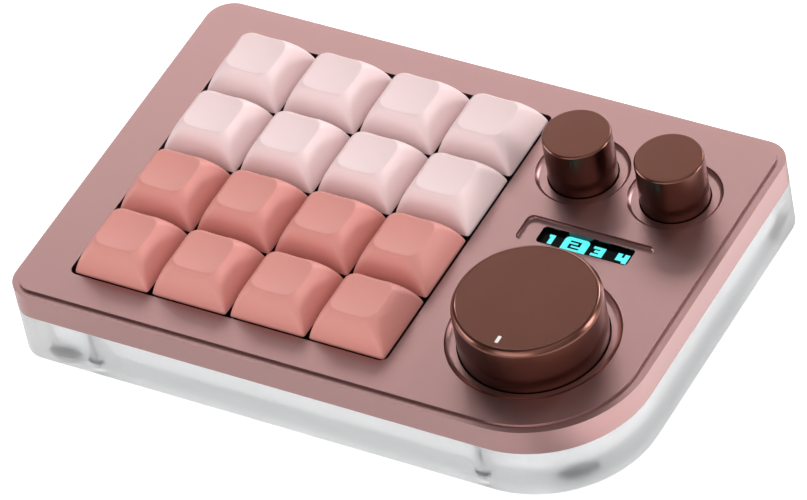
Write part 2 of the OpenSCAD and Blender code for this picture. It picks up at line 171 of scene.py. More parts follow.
def keep_flats_flat(obj, angle):
    """Shades obj as shade does, and lets its large faces set the shading of the small ones."""
    shade(obj, angle)
    finish_with(obj, "WEIGHTED_NORMAL", keep_sharp=True, weight=60)


def copy_of(obj, name, shift):
    """A copy of obj with its own mesh, moved by shift in the mesh itself."""
    twin = obj.copy()
    twin.data = obj.data.copy()
    twin.name = twin.data.name = name
    bpy.context.collection.objects.link(twin)
    take(twin)
    twin.location = shift
    bpy.ops.object.transform_apply(location=True, rotation=False, scale=False)
    return twin


def sheet(name, width, depth, z, centre):
    """A flat square-cornered sheet."""
    return fresh(name, bpy.ops.mesh.primitive_plane_add, size=1, location=(*centre, z),
                 stretch=(width, depth, 1))


def sheet_with_corners(name, width, depth, z, radii, steps, centre=(0, 0)):
    """A flat sheet with round corners; radii and steps run front left, front right, back right, back left."""
    x, y = centre
    obj = sheet(name, width, depth, z, centre)
    sides = [(-1, -1), (1, -1), (1, 1), (-1, 1)]
    work_on(obj)
    for (across, back), radius, count in zip(sides, radii, steps):
        corner = Vector((x + across * width / 2, y + back * depth / 2, z))
        pick(obj, "VERT", lambda vert: (vert.co - corner).length < NEAR)
        bpy.ops.mesh.bevel(offset=radius, segments=count, affect="VERTICES")
    bpy.ops.object.mode_set(mode="OBJECT")
    return obj


def raise_faces(obj, height, test=lambda face: True):
    """Extrudes the faces that test picks straight up by height."""
    work_on(obj)
    pick(obj, "FACE", test)
    bpy.ops.mesh.extrude_region_move(TRANSFORM_OT_translate={"value": (0, 0, height)})
    bpy.ops.object.mode_set(mode="OBJECT")


def slab(name, width, depth, low, high, radius=0.0, steps=8, centre=(0, 0)):
    """A closed block; radius and steps are those of its upright corners, one value or a list of four."""
    radii = radius if isinstance(radius, list) else [radius] * 4
    counts = steps if isinstance(steps, list) else [steps] * 4
    if max(radii) > 0:
        obj = sheet_with_corners(name, width, depth, low, radii, counts, centre)
    else:
        obj = sheet(name, width, depth, low, centre)
    raise_faces(obj, high - low)
    return obj


def rod(name, radius, low, high, centre=(0, 0), sides=64):
    """A round bar standing on Z."""
    return fresh(name, bpy.ops.mesh.primitive_cone_add, vertices=sides, radius1=radius, radius2=radius,
                 depth=high - low, location=(*centre, (low + high) / 2))


# ---- sizes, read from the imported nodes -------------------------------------

def middle_of(node):
    low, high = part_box(node)
    return (low[0] + high[0]) / 2, (low[1] + high[1]) / 2


frame_low, frame_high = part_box("top_frame")
WIDTH = frame_high[0] - frame_low[0]
DEPTH = frame_high[1] - frame_low[1]
TOP = frame_high[2]
JOINT = frame_low[2]
STEP = 0.55 * MM
RIM = TOP - STEP

# The upright corners of frame and base, front left first, and the number of steps in each
SMALL_R, BIG_R = 6 * MM, 25.5 * MM
CORNERS, CORNER_STEPS = [SMALL_R, BIG_R, SMALL_R, SMALL_R], [16, 56, 16, 16]

SCREEN = middle_of("screen_glass")
GLASS_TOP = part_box("screen_glass")[1][2]

# Each knob's middle, radius, foot and top
KNOBS = {}
for side, node in (("left", "small_knob_left"), ("right", "small_knob_right"), ("large", "large_knob")):
    low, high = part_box(node)
    KNOBS[side] = (*middle_of(node), (high[0] - low[0]) / 2, low[2], high[2])

# The keys' places, their width at the skirt, the room round their block, and how far a key goes down
KEYS = [(row, col) for row in range(1, 5) for col in range(1, 5)]
KEY_AT = {(row, col): middle_of(f"keycap_r{row}c{col}") for row, col in KEYS}
KEY_W, KEY_ROOM, KEY_TRAVEL = 18.1 * MM, 0.88 * MM, 4 * MM
BLOCK_X = (KEY_AT[1, 1][0] + KEY_AT[1, 4][0]) / 2
OPENING = KEY_AT[1, 4][0] - KEY_AT[1, 1][0] + KEY_W + 2 * KEY_ROOM

SCREW_X, SCREW_Y, FRONT_RIGHT_SCREW_X = 51.7 * MM, 43.6 * MM, 41.9 * MM
SCREWS = [(-SCREW_X, -SCREW_Y), (-SCREW_X, SCREW_Y), (SCREW_X, SCREW_Y), (FRONT_RIGHT_SCREW_X, -SCREW_Y)]

# The foot at the large corner stands on that corner's diagonal
FOOT_X, FOOT_Y = 60.3 * MM, 41 * MM
DIAGONAL = (BIG_R - 8.5 * MM) / math.sqrt(2)
FEET = [(-FOOT_X, -FOOT_Y), (-FOOT_X, FOOT_Y), (FOOT_X, FOOT_Y),
        (WIDTH / 2 - BIG_R + DIAGONAL, -DEPTH / 2 + BIG_R - DIAGONAL)]


# ---- materials -------------------------------------------------------------

def colour(r, g, b):
    """A colour given as it looks on a screen, 0 to 255, as the linear values that sockets hold."""
    def linear(level):
        level /= 255
        return level / 12.92 if level <= 0.04045 else ((level + 0.055) / 1.055) ** 2.4
    return (linear(r), linear(g), linear(b), 1.0)


WHITE = (1, 1, 1, 1)


def set_inputs(node, values):
    for socket, value in values.items():
        node.inputs[socket].default_value = value


def add_node(tree, kind, values=None, **settings):
    """A node with its settings and with the values of its unlinked inputs."""
    node = tree.nodes.new("ShaderNode" + kind)
    for key, value in settings.items():
        setattr(node, key, value)
    set_inputs(node, values or {})
    return node


def new_group(name, sockets_in, sockets_out):
    """An empty node group with named inputs and outputs."""
    group = bpy.data.node_groups.new(name, "ShaderNodeTree")
    for label, kind, value in sockets_in:
        socket = group.interface.new_socket(label, in_out="INPUT", socket_type=kind)
        socket.default_value = value
    for label, kind in sockets_out:
        group.interface.new_socket(label, in_out="OUTPUT", socket_type=kind)
    entry = group.nodes.new("NodeGroupInput")
    leave = group.nodes.new("NodeGroupOutput")
    return group, entry, leave


def fine_grain_group():
    """Blasted or moulded grain: a small height for bump and a soft mottle round 0.5."""
    group, entry, leave = new_group(
        "Fine grain",
        [("Grain Scale", "NodeSocketFloat", 9000.0), ("Mottle Scale", "NodeSocketFloat", 120.0)],
        [("Height", "NodeSocketFloat"), ("Mottle", "NodeSocketFloat")])
    place = add_node(group, "TexCoord")
    grain = add_node(group, "TexNoise", {"Detail": 3, "Roughness": 0.65})
    mottle = add_node(group, "TexNoise", {"Detail": 4})
    for noise, scale, result in ((grain, "Grain Scale", "Height"), (mottle, "Mottle Scale", "Mottle")):
        group.links.new(place.outputs["Object"], noise.inputs["Vector"])
        group.links.new(entry.outputs[scale], noise.inputs["Scale"])
        group.links.new(noise.outputs["Fac"], leave.inputs[result])
    return group


def two_tone_group():
    """Shifts a colour a little either way with a mask, and gives a roughness that follows it."""
    group, entry, leave = new_group(
        "Two tone",
        [("Mask", "NodeSocketFloat", 0.5), ("Colour", "NodeSocketColor", (0.5, 0.5, 0.5, 1)),
         ("Spread", "NodeSocketFloat", 0.06), ("Roughness", "NodeSocketFloat", 0.5),
         ("Roughness Spread", "NodeSocketFloat", 0.08)],
        [("Colour", "NodeSocketColor"), ("Roughness", "NodeSocketFloat")])
    links = group.links
    centred = add_node(group, "Math", {1: 0.5}, operation="SUBTRACT")
    links.new(entry.outputs["Mask"], centred.inputs[0])
    lift = add_node(group, "Math", {2: 1.0}, operation="MULTIPLY_ADD")
    links.new(centred.outputs[0], lift.inputs[0])
    links.new(entry.outputs["Spread"], lift.inputs[1])
    tint = add_node(group, "VectorMath", operation="SCALE")
    links.new(entry.outputs["Colour"], tint.inputs[0])
    links.new(lift.outputs[0], tint.inputs["Scale"])
    links.new(tint.outputs[0], leave.inputs["Colour"])
    rough = add_node(group, "Math", operation="MULTIPLY_ADD", use_clamp=True)
    links.new(centred.outputs[0], rough.inputs[0])
    links.new(entry.outputs["Roughness Spread"], rough.inputs[1])
    links.new(entry.outputs["Roughness"], rough.inputs[2])
    links.new(rough.outputs[0], leave.inputs["Roughness"])
    return group


FINE_GRAIN = fine_grain_group()
TWO_TONE = two_tone_group()


def new_material(name):
    material = bpy.data.materials.new(name)
    material.use_nodes = True
    return material, material.node_tree, material.node_tree.nodes["Principled BSDF"]


def grain_and_tone(tree, grain_values, tone_values):
    """The two shared effects, with the mottle of the first as the mask of the second."""
    grain = add_node(tree, "Group", grain_values, node_tree=FINE_GRAIN)
    tone = add_node(tree, "Group", tone_values, node_tree=TWO_TONE)
    tree.links.new(grain.outputs["Mottle"], tone.inputs["Mask"])
    return grain, tone


def finish_material(name, base, roughness, tones, grain, relief, **plain):
    """A material with grain and with mottled colour and roughness.

    tones is how far the mottle shifts the colour and the roughness, grain the scales of the grain and of the
    mottle, and relief the bump's strength and its height in mm. plain holds sockets with one value all over.
    """
    material, tree, shader = new_material(name)
    grain_node, tone = grain_and_tone(
        tree, {"Grain Scale": grain[0], "Mottle Scale": grain[1]},
        {"Colour": base, "Spread": tones[0], "Roughness": roughness, "Roughness Spread": tones[1]})
    tree.links.new(tone.outputs["Colour"], shader.inputs["Base Color"])
    tree.links.new(tone.outputs["Roughness"], shader.inputs["Roughness"])
    bump = add_node(tree, "Bump", {"Strength": relief[0], "Distance": relief[1] * MM})
    tree.links.new(grain_node.outputs["Height"], bump.inputs["Height"])
    tree.links.new(bump.outputs["Normal"], shader.inputs["Normal"])
    set_inputs(shader, {socket.replace("_", " "): value for socket, value in plain.items()})
    return material


ROSE = finish_material(
    "Rose dyed metal", colour(170, 132, 130), 0.38, tones=(0.05, 0.06), grain=(4500, 90), relief=(0.4, 0.02),
    Metallic=1.0, Coat_Weight=0.3, Coat_Roughness=0.3)
BROWN = finish_material(
    "Brown dyed metal", colour(107, 62, 49), 0.29, tones=(0.06, 0.06), grain=(8000, 150), relief=(0.22, 0.02),
    Metallic=1.0, Coat_Weight=0.6, Coat_Roughness=0.2)
PALE_KEYS = finish_material(
    "Pale pink moulded keys", colour(238, 211, 211), 0.5, tones=(0.02, 0.05), grain=(6000, 80),
    relief=(0.1, 0.01))
CORAL_KEYS = finish_material(
    "Coral moulded keys", colour(215, 142, 133), 0.5, tones=(0.03, 0.05), grain=(6000, 80),
    relief=(0.1, 0.01))
FROSTED = finish_material(
    "Frosted inner walls", colour(246, 247, 248), 0.6, tones=(0.02, 0.05), grain=(5000, 60),
    relief=(0.15, 0.02))
BLACK_PLASTIC = finish_material(
    "Black moulded plastic", colour(24, 24, 25), 0.55, tones=(0.1, 0.1), grain=(5000, 200),
    relief=(0.2, 0.02))
# Dark grey covers; the gaps between the keys show them dark.
DARK_COVERS = finish_material(
    "Dark switch covers", colour(30, 28, 29), 0.35, tones=(0.1, 0.1), grain=(5000, 200), relief=(0.1, 0.02))
STEM_RED = finish_material(
    "Red stems", colour(120, 34, 30), 0.45, tones=(0.06, 0.08), grain=(5000, 200), relief=(0.1, 0.02))
DARK_PLATE = finish_material(
    "Black dyed plate", colour(32, 32, 34), 0.45, tones=(0.1, 0.1), grain=(6000, 120), relief=(0.2, 0.02),
    Metallic=0.6)
STEEL = finish_material(
    "Brushed steel", colour(170, 171, 173), 0.32, tones=(0.05, 0.08), grain=(3000, 300), relief=(0.1, 0.01),
    Metallic=1.0)
GOLD = finish_material(
    "Gilded contacts", colour(214, 170, 92), 0.28, tones=(0.05, 0.08), grain=(3000, 300), relief=(0.05, 0.01),
    Metallic=1.0)
BOARD = finish_material(
    "Black circuit board", colour(22, 30, 27), 0.4, tones=(0.15, 0.1), grain=(1500, 400), relief=(0.1, 0.02))
IVORY = finish_material(
    "Ivory plungers", colour(225, 220, 205), 0.5, tones=(0.03, 0.06), grain=(5000, 200), relief=(0.1, 0.02))
RUBBER = finish_material(
    "Grey rubber", colour(185, 186, 188), 0.8, tones=(0.08, 0.08), grain=(4000, 200), relief=(0.4, 0.03))
POINTER_WHITE = finish_material(
    "White pointer", colour(240, 236, 230), 0.4, tones=(0.02, 0.05), grain=(4000, 200), relief=(0.05, 0.01))
# The window's walls are the frame's rose metal; this dark grey on them is painted shade.
WINDOW_SHADE = finish_material(
    "Window edge painted shade", colour(84, 82, 84), 0.16, tones=(0.04, 0.03), grain=(5000, 90), relief=(0.05, 0.01),
    Metallic=1.0)
SCREEN_BLACK = finish_material(
    "Black screen glass", colour(5, 7, 8), 0.12, tones=(0.1, 0.03), grain=(3000, 60), relief=(0.02, 0.005),
    Specular_IOR_Level=0.25)


def clear_material():
    """Clear moulded plastic: it lets light through, and its skin is a little uneven."""
    material, tree, shader = new_material("Clear moulded plastic")
    set_inputs(shader, {"Base Color": (0.985, 0.988, 0.99, 1), "Transmission Weight": 0.94, "IOR": 1.49})
    tone = grain_and_tone(tree, {"Grain Scale": 1800, "Mottle Scale": 60},
                          {"Roughness": 0.34, "Roughness Spread": 0.04})[1]
    tree.links.new(tone.outputs["Roughness"], shader.inputs["Roughness"])
    return material


def glow_material():
    """The light of the screen's figures, a little uneven."""
    material, tree, shader = new_material("Lit cyan")
    set_inputs(shader, {"Base Color": colour(10, 60, 62), "Roughness": 0.3, "Emission Strength": 1.0})
    tone = grain_and_tone(tree, {"Grain Scale": 4000}, {"Colour": colour(96, 250, 250), "Spread": 0.08})[1]
    tree.links.new(tone.outputs["Colour"], shader.inputs["Emission Color"])
    return material


CLEAR = clear_material()
LIT_CYAN = glow_material()


# ---- the frame --------------------------------------------------------------

RECESS_FLOOR = TOP - 0.9 * MM
POCKET_ROOF = RIM - 2.3 * MM

# How far each well reaches past its knob, how wide its hollow fillet is (both in mm), and its number of sides
WELLS = {"left": (2.8, 1.0, 96), "right": (2.8, 1.0, 96), "large": (2.7, 1.45, 160)}


def hollowed(tool, radius, flatten=1.0, roundness=0.5):
    """Rounds the bottom edge of a cutting tool, so that it leaves a hollow fillet.

    flatten makes the fillet wider than high, and roundness is the fullness of its curve, 0.5 for an arc.
    """
    low = min(vert.co.z for vert in tool.data.vertices)
    work_on(tool)
    pick(tool, "EDGE", lies_at(low))
    bpy.ops.mesh.bevel(offset=radius, segments=6, profile=roundness, affect="EDGES")
    bpy.ops.mesh.select_all(action="SELECT")
    bpy.ops.transform.resize(value=(1, 1, flatten), center_override=(0, 0, low))
    bpy.ops.object.mode_set(mode="OBJECT")
    return tool


def raise_plateau(body):
    """Steps the frame's top up inside its rim, which is a little wider on the right."""
    rim, wider_on_right = 1.6 * MM, 0.4 * MM
    plateau = WIDTH - 2 * rim
    work_on(body)
    pick(body, "FACE", is_top(body))
    bpy.ops.mesh.inset(thickness=rim, depth=0)
    share = (plateau - wider_on_right) / plateau
    bpy.ops.transform.resize(value=(share, 1, 1), center_override=(-plateau / 2, 0, 0))
    bpy.ops.mesh.extrude_region_move(TRANSFORM_OT_translate={"value": (0, 0, TOP - RIM)})
    bpy.ops.object.mode_set(mode="OBJECT")


def carve_pocket(body):
    """The room under the right half of the frame, for the encoders and the screen's board."""
    wall, key_wall = 7.4 * MM, 3 * MM
    left, right = BLOCK_X + OPENING / 2 + key_wall, WIDTH / 2 - wall
    corners, steps = [0.1 * MM, BIG_R - wall, 0.5 * MM, 0.1 * MM], [1, 24, 3, 1]
    carve(body, slab("pocket", right - left, DEPTH - 2 * wall, JOINT - MM, POCKET_ROOF, corners, steps,
                     ((left + right) / 2, 0)))


def carve_wells(body):
    """A well round each knob, and the hole that its knob stands in."""
    well_depth, roundness, knob_room = 0.85, 0.36, 0.25 * MM
    for side, (reach, fillet, sides) in WELLS.items():
        x, y, radius = KNOBS[side][:3]
        well = rod("well", radius + reach * MM, RECESS_FLOOR, TOP + 3 * MM, (x, y), sides)
        carve(body, hollowed(well, fillet * MM, well_depth / fillet, roundness))
        carve(body, rod("shaft hole", radius + knob_room, JOINT - MM, TOP + MM, (x, y), sides))


def carve_screen(body):
    """The recess over the screen, the window in it, and the seat of the glass below."""
    recess_w, recess_d, recess_r, fillet = 30 * MM, 7.6 * MM, 1.5 * MM, 0.6 * MM
    window_w, window_d, window_r, window_depth = 21.6 * MM, 4.8 * MM, 0.8 * MM, 3 * MM
    seat_w, seat_d, sill = 30.4 * MM, 11.9 * MM, 1.1 * MM
    recess = slab("recess", recess_w, recess_d, RECESS_FLOOR, TOP + MM, recess_r, 8, SCREEN)
    carve(body, hollowed(recess, fillet))
    window = slab("window", window_w, window_d, RECESS_FLOOR - window_depth, TOP, window_r, 6, SCREEN)
    # The window's walls get the dark grey of painted shade.
    carve(body, window, WINDOW_SHADE)
    carve(body, slab("glass seat", seat_w, seat_d, POCKET_ROOF - MM, RECESS_FLOOR - sill, centre=SCREEN))


def make_frame():
    body = slab("Frame", WIDTH, DEPTH, JOINT, RIM, CORNERS, CORNER_STEPS)
    # The second slot is the painted shade of the window's walls.
    dress(body, ROSE, WINDOW_SHADE)
    raise_plateau(body)
    carve(body, slab("key hole", OPENING, OPENING, JOINT - MM, TOP + MM, 1.8 * MM, 8, (BLOCK_X, 0)))
    carve_pocket(body)
    carve_wells(body)
    carve_screen(body)
    screw_r, screw_room, screws_top = 1.05 * MM, 0.5 * MM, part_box("case_screws")[1][2]
    for place in SCREWS:
        carve(body, rod("screw hole", screw_r, JOINT - MM, screws_top + screw_room, place, 24))
    clean(body)
    ease_edges(body, 0.11 * MM)
    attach(body, "case")
    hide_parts("top_frame")


make_frame()


# ---- the clear base -----------------------------------------------------------

# The base stops just short of the frame, so that the two skins don't lie in one plane
SKIN_GAP = 0.04 * MM
base_low, base_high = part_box("clear_base")
BASE_LOW, BASE_HIGH = base_low[2], base_high[2] - SKIN_GAP
BASE_WALL = 8.2 * MM


def round_base_rims(body):
    """Softens the base's lower and upper edges."""
    work_on(body)
    for height, radius, steps in ((BASE_LOW, 0.4 * MM, 3), (BASE_HIGH, 0.2 * MM, 2)):
        pick(body, "EDGE", lies_at(height))
        bpy.ops.mesh.bevel(offset=radius, segments=steps, affect="EDGES")
    bpy.ops.object.mode_set(mode="OBJECT")


def inner_room(name, wall, low):
    """A tool for the inside of the base, open at the top."""
    corners = [0.5 * MM, BIG_R - wall, 0.5 * MM, 0.5 * MM]
    return slab(name, WIDTH - 2 * wall, DEPTH - 2 * wall, low, BASE_HIGH + MM, corners, [3, 32, 3, 3])


def carve_usb_port(body):
    """A notch in the wall for the socket and its end of the board, and the mouth at the back."""
    usb_low, usb_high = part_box("usb_socket")
    usb_x, usb_z = (usb_low[0] + usb_high[0]) / 2, (usb_low[2] + usb_high[2]) / 2
    notch_w, skin, board_room = 11 * MM, 1.3 * MM, 0.3 * MM
    mouth_w, mouth_h, mouth_r, mouth_depth = 9.3 * MM, 3.56 * MM, 1.38 * MM, 4 * MM
    front, back = DEPTH / 2 - BASE_WALL - MM, DEPTH / 2 - skin
    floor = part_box("circuit_board")[0][2] - board_room
    notch = slab("notch", notch_w, back - front, floor, BASE_HIGH + MM, centre=(usb_x, (front + back) / 2))
    carve(body, notch, FROSTED)
    mouth = slab("mouth", mouth_w, mouth_h, 0, mouth_depth, mouth_r, 8)
    take(mouth)
    mouth.rotation_euler = (math.pi / 2, 0, 0)
    mouth.location = (usb_x, DEPTH / 2 + MM, usb_z)
    bpy.ops.object.transform_apply(location=True, rotation=True, scale=True)
    carve(body, mouth, CLEAR)


def carve_fixings(body):
    """The holes and head seats of the screws, and the pockets of the feet."""
    hole_r, seat_r, seat_depth = 1.15 * MM, 2.1 * MM, 2.1 * MM
    pocket_r, pocket_depth = 4.2 * MM, 0.5 * MM
    for place in SCREWS:
        carve(body, rod("screw hole", hole_r, BASE_LOW, BASE_HIGH + MM, place, 32), CLEAR)
        carve(body, rod("screw seat", seat_r, BASE_LOW - MM, BASE_LOW + seat_depth, place, 48), CLEAR)
    for place in FEET:
        carve(body, rod("foot pocket", pocket_r, BASE_LOW - MM, BASE_LOW + pocket_depth, place), CLEAR)


def make_base():
    floor, ledge_w, ledge_depth = 3.2 * MM, 2 * MM, 1.5 * MM
    body = slab("Base", WIDTH, DEPTH, BASE_LOW, BASE_HIGH, CORNERS, CORNER_STEPS)
    round_base_rims(body)
    dress(body, CLEAR, FROSTED)
    carve(body, inner_room("hollow", BASE_WALL, BASE_LOW + floor), FROSTED)
    carve(body, inner_room("ledge", BASE_WALL - ledge_w, BASE_HIGH - ledge_depth), FROSTED)
    carve_usb_port(body)
    carve_fixings(body)
    clean(body, 0.002 * MM)
    keep_flats_flat(body, 32)
    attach(body, "case")
    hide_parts("clear_base")


make_base()


# ---- keycaps ------------------------------------------------------------------

def keycap_ring(z, half, radius):
    """One level of a keycap, in mm: a flat ring of edges with round corners."""
    ring = sheet_with_corners("ring", 2 * half * MM, 2 * half * MM, z * MM, [radius * MM] * 4, [4] * 4)
    work_on(ring)
    pick(ring, "FACE", lambda face: True)
    bpy.ops.mesh.delete(type="ONLY_FACE")
    pick(ring, "EDGE", lambda edge: min(map(abs, (edge.verts[0].co - edge.verts[1].co).xy)) < 0.1 * NEAR)
    bpy.ops.mesh.subdivide(number_cuts=4)
    bpy.ops.object.mode_set(mode="OBJECT")
    return ring


def keycap_levels():
    """The height, half width and corner radius of each ring, in mm.

    The sides follow an arc of the radius arc_r round the point arc_x, arc_z, and the top closes in.
    """
    arc_r, arc_x, arc_z = 14.78, -5.506, -2.567
    sides = [(0, 0.7), (0.3, 0.75), (1.5, 1.0), (3.0, 1.35), (4.4, 1.75), (5.7, 2.1), (6.6, 2.4), (7.08, 2.5),
             (7.33, 2.5)]
    top = [(7.36, 5.2, 2.3), (7.39, 4.3, 1.9), (7.42, 3.1, 1.4), (7.45, 1.9, 0.9), (7.48, 0.8, 0.4)]
    return [(z, arc_x + math.sqrt(arc_r ** 2 - (z - arc_z) ** 2), radius) for z, radius in sides] + top


def make_keycap():
    """A sculpted cap, from its skirt up to its dished top, made at the origin."""
    last_ring, flat_top, middle = 7.47 * MM, 7.3 * MM, 0.15 * MM
    dish_depth, dish_reach, wall = 0.82 * MM, 7.2 * MM, 1.3 * MM
    post_r, post_foot, post_top = 2.75 * MM, 0.7 * MM, 6.2 * MM
    slot_w, slot_t, slot_depth = 4.1 * MM, 1.3 * MM, 4 * MM
    cap = join(*[keycap_ring(*level) for level in keycap_levels()])
    cap.name = "Keycap"
    work_on(cap)
    bpy.ops.mesh.select_mode(type="EDGE")
    bpy.ops.mesh.select_all(action="SELECT")
    bpy.ops.mesh.bridge_edge_loops()
    pick(cap, "VERT", lambda vert: vert.co.z > last_ring)
    bpy.ops.mesh.edge_face_add()
    bpy.ops.mesh.select_all(action="SELECT")
    bpy.ops.mesh.normals_make_consistent(inside=False)
    bpy.ops.object.mode_set(mode="OBJECT")
    finish_with(cap, "SUBSURF", levels=2, render_levels=2)
    work_on(cap)
    pick(cap, "VERT", lambda vert: vert.co.z > flat_top and vert.co.xy.length < middle)
    bpy.ops.transform.translate(value=(0, 0, -dish_depth), use_proportional_edit=True,
                                proportional_edit_falloff="INVERSE_SQUARE", proportional_size=dish_reach)
    bpy.ops.object.mode_set(mode="OBJECT")
    finish_with(cap, "SOLIDIFY", thickness=wall, offset=-1)
    post = rod("post", post_r, post_foot, post_top, sides=32)
    for width, depth in ((slot_w, slot_t), (slot_t, slot_w)):
        carve(post, slab("slot", width, depth, 0, slot_depth))
    cap = join(cap, post)
    shade(cap, 50)
    return cap


def place_keycaps():
    """Two pale rows at the back and two coral rows at the front."""
    cap = make_keycap()
    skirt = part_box("keycap_r1c1")[0][2]
    for row, col in KEYS:
        x, y = KEY_AT[row, col]
        key = copy_of(cap, f"Keycap_r{row}c{col}", (x, y, skirt))
        dress(key, PALE_KEYS if row <= 2 else CORAL_KEYS)
        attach(key, f"key_r{row}c{col}")
        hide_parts(f"keycap_r{row}c{col}")
    bpy.data.objects.remove(cap)


place_keycaps()


# ---- switch springs -------------------------------------------------------------

def make_spring(low, high):
    """A round wire wound on the vertical axis, with its ends closed."""
    wire_r, coil_r, turns, wire_sides = 0.15 * MM, 2.15 * MM, 5, 8
    spring = fresh("spring", bpy.ops.mesh.primitive_circle_add, vertices=wire_sides, radius=wire_r,
                   location=(coil_r, 0, low + wire_r), rotation=(math.pi / 2, 0, 0))
    finish_with(spring, "SCREW", axis="Z", angle=2 * math.pi, iterations=turns, steps=20, render_steps=20,
                screw_offset=(high - low - 2 * wire_r) / turns)
    work_on(spring)
    bpy.ops.mesh.select_all(action="SELECT")
    bpy.ops.mesh.fill_holes(sides=wire_sides)
    bpy.ops.object.mode_set(mode="OBJECT")
    clean(spring)
    shade(spring, 60)
    return spring


def place_springs():
    """Each spring stands on its housing, one under each key."""
    springs_low, springs_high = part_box("switch_springs")
    low, high = springs_low[2], springs_high[2]
    spring = make_spring(low, high)
    for row, col in KEYS:
        x, y = KEY_AT[row, col]
        coil = copy_of(spring, f"Spring_r{row}c{col}", (x, y, 0))
        dress(coil, STEEL)
        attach(coil, "case")
        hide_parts("switch_springs")
        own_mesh(coil)
    bpy.data.objects.remove(spring)


place_springs()


# ---- knobs ----------------------------------------------------------------------

def make_knob(side, name, sides, shaft, lip, rise, soften, sink=0):
    """A turned knob: its side runs in by lip over the last rise of its height, and its face sinks by sink."""
    x, y, radius, low, high = KNOBS[side]
    face_rim, face_fall, face_ring, foot_round = 0.12 * MM, 0.1 * MM, 2 * MM, 0.15 * MM
    bush_r, bush_depth, bore_r, end_room = 4.3 * MM, 2.8 * MM, 3.05 * MM, 0.2 * MM
    knob = rod(name, radius, low, high - rise, (x, y), sides)
    raise_faces(knob, rise, is_top(knob))
    face = is_top(knob)
    share = (radius - lip) / radius

    def on_lip(edge):
        one_end, other_end = [vert.co.z for vert in edge.verts]
        return abs(one_end - other_end) < NEAR and one_end > high - rise - NEAR

    work_on(knob)
    pick(knob, "FACE", face)
    bpy.ops.transform.resize(value=(share, share, 1), center_override=(x, y, high))
    pick(knob, "EDGE", on_lip)
    bpy.ops.mesh.bevel(offset=soften, segments=4, affect="EDGES")
    pick(knob, "FACE", face)
    if sink:
        bpy.ops.mesh.inset(thickness=face_rim, depth=-sink)
        bpy.ops.mesh.inset(thickness=face_fall, depth=0)
    bpy.ops.mesh.inset(thickness=face_ring, depth=0)
    pick(knob, "EDGE", lies_at(low))
    bpy.ops.mesh.bevel(offset=foot_round, segments=2, affect="EDGES")
    bpy.ops.object.mode_set(mode="OBJECT")
    shaft_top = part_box(shaft)[1][2]
    carve(knob, rod("bush room", bush_r, low - MM, low + bush_depth, (x, y)))
    carve(knob, rod("bore", bore_r, low - MM, shaft_top + end_room, (x, y), 48))
    return knob


def make_small_knobs():
    for side in ("left", "right"):
        knob = make_knob(side, f"Small_knob_{side}", 128, f"encoder_shaft_{side}",
                         lip=0.3 * MM, rise=0.35 * MM, soften=0.12 * MM)
        keep_flats_flat(knob, 35)
        dress(knob, BROWN)
        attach(knob, f"knob_{side}")
        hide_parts(f"small_knob_{side}")


def make_large_knob():
    """The large knob, and the pale pointer let into its face."""
    knob = make_knob("large", "Large_knob", 192, "encoder_shaft_large",
                     lip=0.75 * MM, rise=1.1 * MM, soften=0.35 * MM, sink=0.1 * MM)
    low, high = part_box("large_knob_pointer")
    place = middle_of("large_knob_pointer")
    width, length, radius, fit, sunk = 0.8 * MM, 2 * MM, 0.18 * MM, 0.02 * MM, 0.08 * MM
    slot_w, slot_l, slot_r = width + 2 * fit, length + 2 * fit, radius + fit
    carve(knob, slab("pointer slot", slot_w, slot_l, low[2], high[2] + MM, slot_r, 4, place))
    keep_flats_flat(knob, 35)
    dress(knob, BROWN)
    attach(knob, "knob_large")
    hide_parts("large_knob")
    pointer = slab("Pointer", width, length, low[2], high[2] - sunk, radius, 4, place)
    ease_edges(pointer, 0.05 * MM)
    dress(pointer, POINTER_WHITE)
    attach(pointer, "knob_large")
    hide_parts("large_knob_pointer")


make_small_knobs()
make_large_knob()


# ---- figures on the screen ---------------------------------------------------------

FIGURE_ROWS = {
    "1": ["####", "####", ".###", ".###", ".###", ".###", ".###", ".###"],
    "2": ["####", "...#", "####", "#...", "####"],
    "3": ["#####", "#####", "...##", ".####", ".####", "...##", "#####", "#####"],
    "4": ["##.##", "##.##", "#####", "#####", "...##"],
}


def make_figure(name, figure, left, front, cell_w, cell_h, z, thickness):
    """A figure built of square cells in a thin skin; left, front and the cell's size are in mm."""
    rows = FIGURE_ROWS[figure]
    cells = []
    for row, line in enumerate(rows):
        for col, mark in enumerate(line):
            if mark == "#":
                x = left + (col + 0.5) * cell_w
                y = front + (len(rows) - row - 0.5) * cell_h
                cells.append(sheet("cell", cell_w * MM, cell_h * MM, z, (x * MM, y * MM)))
    shape = join(*cells)
    shape.name = shape.data.name = name
    clean(shape, 0.01 * MM)
    raise_faces(shape, thickness)
    clean(shape)
    return shape


def show_figures():
    """Three lit figures, and a lit block with a dark figure cut out of it."""
    z, skin = GLASS_TOP + 0.005 * MM, 0.03 * MM
    lit = [
        make_figure("Figure_1", "1", 32.1, 5.7, 0.34, 0.33, z, skin),
        make_figure("Figure_3", "3", 42.6, 5.7, 0.56, 0.335, z, skin),
        make_figure("Figure_4", "4", 48.3, 5.7, 0.55, 0.52, z, skin),
    ]
    corners, steps = [0.1 * MM, 0.1 * MM, 1.0 * MM, 1.0 * MM], [1, 1, 6, 6]
    block = sheet_with_corners("Figure_2", 5.8 * MM, 4.0 * MM, z, corners, steps, (38.55 * MM, 7.15 * MM))
    raise_faces(block, skin)
    carve(block, make_figure("two", "2", 37.1, 5.95, 0.65, 0.46, z - skin, 4 * skin))
    clean(block)
    lit.append(block)
    for figure in lit:
        dress(figure, LIT_CYAN)
        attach(figure, "case")


show_figures()


